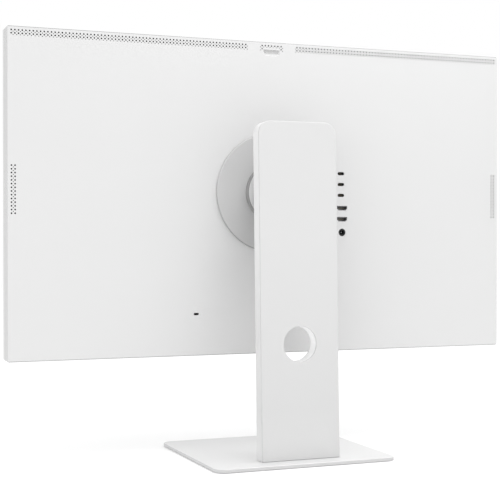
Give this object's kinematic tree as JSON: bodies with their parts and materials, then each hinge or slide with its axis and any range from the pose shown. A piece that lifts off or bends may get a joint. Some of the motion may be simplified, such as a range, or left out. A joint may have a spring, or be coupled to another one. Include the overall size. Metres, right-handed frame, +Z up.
{
  "type": "all-in-one desktop computer",
  "caption": "All-in-one desktop computer seen from behind: flat white cabinet, round rear mount, leaning column with a cable hole, tilting and sliding arm, thin base plate.",
  "frame": {"origin": "centre of the base's footprint, on the desk under the feet", "axes": "+Z up, the screen faces -Y, +X is the cabinet's left side seen from behind"},
  "size_m": [0.714, 0.2286, 0.5541],
  "materials": {
    "cover_white": "fine satin-matte white moulded plastic",
    "stand_white": "smooth satin white moulded plastic",
    "base_white": "satin white powder coat on steel plate",
    "disc_silver": "light grey satin plastic",
    "ring_grey": "mid grey satin plastic",
    "frame_silver": "fine blasted light grey aluminium",
    "screen_glass": "black anti-glare glass, screen off",
    "panel_black": "dark display cell",
    "light_sheet": "milky acrylic",
    "board_green": "green solder mask",
    "tray_metal": "rolled sheet metal",
    "steel": "plain brushed steel",
    "port_steel": "dull nickel shell with a grey tongue",
    "port_black": "black socket",
    "copper": "plain copper",
    "black_plastic": "black moulded plastic",
    "dark_mesh": "fine dark dust mesh",
    "acetal": "natural acetal",
    "rubber": "dark grey rubber"
  },
  "bodies": {
    "stand": {"base_plate": "base_white", "foot_rear_left": "rubber", "foot_front_left": "rubber", "foot_rear_right": "rubber", "foot_front_right": "rubber", "base_screw": "steel", "column_front": "stand_white", "column_back": "stand_white", "cable_ring": "stand_white", "column_spine": "steel", "rail_left": "steel", "rail_right": "steel"},
    "carriage": {"carriage": "steel", "slider_shoe_left": "acetal", "slider_shoe_right": "acetal", "lift_coil_left": "steel", "lift_coil_right": "steel", "hinge_cover": "stand_white", "friction_washer_left": "steel", "friction_washer_right": "steel"},
    "cabinet": {"tilt_bracket": "steel", "hinge_pin": "steel", "hinge_nut_left": "steel", "hinge_nut_right": "steel", "torsion_spring_left": "steel", "torsion_spring_right": "steel", "mount_disc": "disc_silver", "hub_ring": "ring_grey", "mount_hub": "disc_silver", "mount_plate": "steel", "rear_cover": "cover_white", "front_frame": "frame_silver", "screen_glass": "screen_glass", "lcd_cell": "panel_black", "light_guide": "light_sheet", "light_bar": "board_green", "panel_tray": "tray_metal", "main_board": "board_green", "storage_card": "board_green", "heat_sink": "copper", "blower_housing": "black_plastic", "speaker_left": "black_plastic", "speaker_right": "black_plastic", "side_mesh_left": "dark_mesh", "side_mesh_right": "dark_mesh", "top_mesh_left": "dark_mesh", "top_mesh_right": "dark_mesh", "antenna_left": "board_green", "antenna_right": "board_green", "data_port_1": "port_black", "data_port_2": "port_black", "data_port_3": "port_black", "video_port_1": "port_steel", "video_port_2": "port_steel", "dc_inlet": "port_black", "lock_plate": "steel", "camera_dock": "cover_white"},
    "power_button": {"power_button": "cover_white"},
    "blower_wheel": {"blower_wheel": "black_plastic"}
  },
  "joints": [
    {"name": "height_slide", "type": "slide", "parent": "stand", "child": "carriage", "axis": [0, -0.0297, 0.9996], "range_m": [-0.075, 0.035]},
    {"name": "tilt", "type": "hinge", "parent": "carriage", "child": "cabinet", "pos_m": [0, 0.024, 0.3505], "axis": [-1, 0, 0], "range_deg": [-5, 20]},
    {"name": "power_button_press", "type": "slide", "parent": "cabinet", "child": "power_button", "axis": [0, 0, 1], "range_m": [0, 0.001], "stiffness_N_per_m": 1500, "springref_m": -0.0005},
    {"name": "blower_spin", "type": "hinge", "parent": "cabinet", "child": "blower_wheel", "pos_m": [0.096, -0.02, 0.3999], "axis": [0, 1, 0], "continuous": true}
  ]
}
